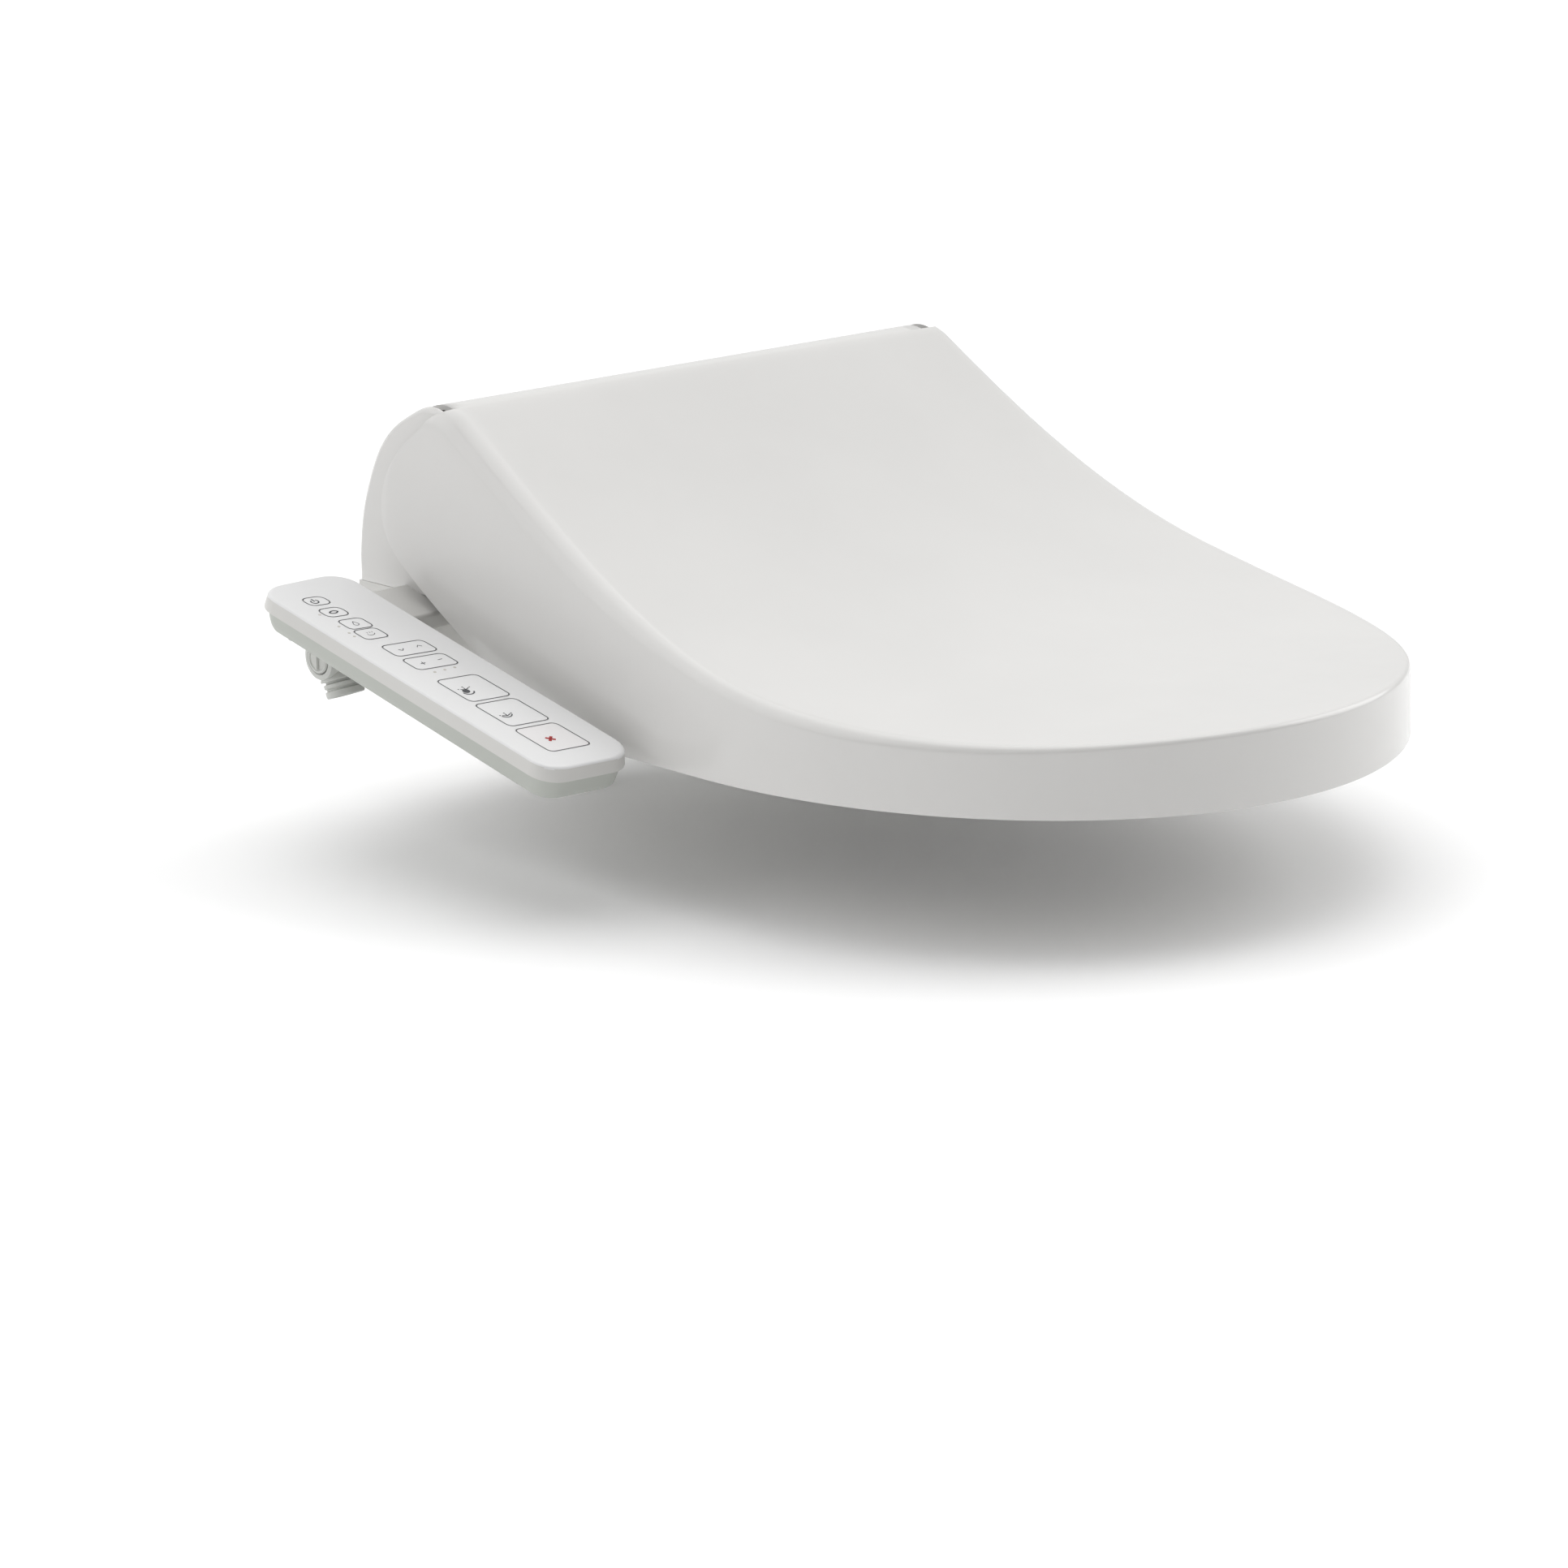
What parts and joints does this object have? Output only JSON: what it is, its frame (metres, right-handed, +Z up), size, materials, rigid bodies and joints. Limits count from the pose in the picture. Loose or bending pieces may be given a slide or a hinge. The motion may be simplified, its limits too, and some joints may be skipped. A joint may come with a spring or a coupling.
{
  "type": "electric bidet seat",
  "caption": "Warm-water bidet toilet seat with a swept concave lid, heated seat ring, sliding spray nozzle and a side control panel on a fixed rear body.",
  "frame": {"origin": "midway between the two fixing bolts, in the plane of the bowl's rim", "axes": "+X to the right seen from the front, +Y towards the wall behind, +Z up"},
  "size_m": [0.484, 0.521, 0.2325],
  "materials": {
    "white_housing": "smooth gloss",
    "white_shell": "smooth gloss",
    "grey_plastic": "moulded",
    "steel": "zinc plated",
    "rubber_dark": "soft",
    "rubber_grey": "soft",
    "dark_plastic": "moulded",
    "hose": "translucent silicone",
    "copper_heater": "drawn",
    "motor_metal": "drawn can",
    "board_green": "solder mask",
    "foil_heater": "foil film",
    "panel_white": "satin gloss",
    "panel_grey": "fine matte",
    "lamp_amber": "translucent lens",
    "button_white": "satin",
    "stop_white": "satin with a red cross"
  },
  "bodies": {
    "base": {"base_housing": "white_housing", "top_cover": "white_housing", "rear_cover": "white_shell", "mounting_plate": "grey_plastic", "fixing_bolts": "steel", "cone_washers": "rubber_dark", "wing_nuts": "grey_plastic", "base_pads": "rubber_grey", "housing_screws": "steel", "hinge_pins": "steel", "seat_damper": "dark_plastic", "lid_damper": "dark_plastic", "inlet_elbow": "grey_plastic", "drain_plug": "grey_plastic", "inlet_valve": "grey_plastic", "flow_regulator": "grey_plastic", "water_hoses": "hose", "heater_tank": "grey_plastic", "heater_element": "copper_heater", "nozzle_guide": "grey_plastic", "nozzle_motor": "motor_metal", "main_circuit_board": "board_green", "power_board": "board_green", "cord_gland": "dark_plastic", "release_spring": "steel", "panel_top_shell": "panel_white", "panel_bottom_shell": "panel_grey", "panel_screws": "steel", "panel_neck": "white_housing", "button_mat": "rubber_grey", "panel_circuit_board": "board_green", "indicator_lenses": "lamp_amber"},
    "seat": {"seat_top_shell": "white_shell", "seat_arms": "white_shell", "seat_bottom_shell": "white_housing", "seat_heater": "foil_heater", "seat_bumpers": "rubber_grey", "seat_bushes": "grey_plastic"},
    "lid": {"lid_shell": "white_shell", "lid_bumpers": "rubber_grey"},
    "nozzle": {"nozzle_tube": "steel", "nozzle_tip": "white_housing", "nozzle_rack": "white_housing"},
    "pinion": {"drive_pinion": "dark_plastic"},
    "release": {"release_button": "white_housing"},
    "power_key": {"power_button": "button_white"},
    "energy_saver_key": {"energy_saver_button": "button_white"},
    "water_temperature_key": {"water_temperature_button": "button_white"},
    "seat_temperature_key": {"seat_temperature_button": "button_white"},
    "position_key": {"position_rocker": "button_white"},
    "pressure_key": {"pressure_rocker": "button_white"},
    "rear_wash_key": {"rear_wash_button": "button_white"},
    "front_wash_key": {"front_wash_button": "button_white"},
    "stop_key": {"stop_button": "stop_white"}
  },
  "joints": [
    {"name": "seat_hinge", "type": "hinge", "parent": "base", "child": "seat", "pos_m": [0, -0.012, 0.112], "axis": [-1, 0, 0], "range_deg": [0, 100]},
    {"name": "lid_hinge", "type": "hinge", "parent": "seat", "child": "lid", "pos_m": [0, -0.012, 0.112], "axis": [1, 0, 0], "range_deg": [-105, 0]},
    {"name": "nozzle_slide", "type": "slide", "parent": "base", "child": "nozzle", "axis": [0, -0.8192, -0.5736], "range_m": [0, 0.09]},
    {"name": "pinion_spin", "type": "hinge", "parent": "base", "child": "pinion", "pos_m": [0, -0.08538, 0.03295], "axis": [1, 0, 0], "range_deg": [-740, 0]},
    {"name": "release_button_press", "type": "slide", "parent": "base", "child": "release", "axis": [-1, 0, 0], "range_m": [0, 0.004], "stiffness_N_per_m": 900, "springref_m": -0.0015, "deforming": ["release_spring"]},
    {"name": "power_button_press", "type": "slide", "parent": "base", "child": "power_key", "axis": [0, 0.2497, -0.9683], "range_m": [0, 0.0008], "stiffness_N_per_m": 2500, "springref_m": -0.0004},
    {"name": "energy_saver_button_press", "type": "slide", "parent": "base", "child": "energy_saver_key", "axis": [0, 0.2497, -0.9683], "range_m": [0, 0.0008], "stiffness_N_per_m": 2500, "springref_m": -0.0004},
    {"name": "water_temperature_button_press", "type": "slide", "parent": "base", "child": "water_temperature_key", "axis": [0, 0.2497, -0.9683], "range_m": [0, 0.0008], "stiffness_N_per_m": 2500, "springref_m": -0.0004},
    {"name": "seat_temperature_button_press", "type": "slide", "parent": "base", "child": "seat_temperature_key", "axis": [0, 0.2497, -0.9683], "range_m": [0, 0.0008], "stiffness_N_per_m": 2500, "springref_m": -0.0004},
    {"name": "position_rock", "type": "hinge", "parent": "base", "child": "position_key", "pos_m": [-0.2481, -0.06452, 0.04668], "axis": [0, 0.9683, 0.2497], "range_deg": [-2.5, 2.5], "stiffness_Nm_per_rad": 0.6},
    {"name": "pressure_rock", "type": "hinge", "parent": "base", "child": "pressure_key", "pos_m": [-0.2478, -0.08098, 0.04244], "axis": [0, 0.9683, 0.2497], "range_deg": [-2.5, 2.5], "stiffness_Nm_per_rad": 0.6},
    {"name": "rear_wash_button_press", "type": "slide", "parent": "base", "child": "rear_wash_key", "axis": [0, 0.2497, -0.9683], "range_m": [0, 0.0008], "stiffness_N_per_m": 2500, "springref_m": -0.0004},
    {"name": "front_wash_button_press", "type": "slide", "parent": "base", "child": "front_wash_key", "axis": [0, 0.2497, -0.9683], "range_m": [0, 0.0008], "stiffness_N_per_m": 2500, "springref_m": -0.0004},
    {"name": "stop_button_press", "type": "slide", "parent": "base", "child": "stop_key", "axis": [0, 0.2497, -0.9683], "range_m": [0, 0.0008], "stiffness_N_per_m": 2500, "springref_m": -0.0004}
  ],
  "couplings": [
    {"joint": "pinion_spin", "follows": "nozzle_slide", "rad_per_m": -142.86}
  ]
}
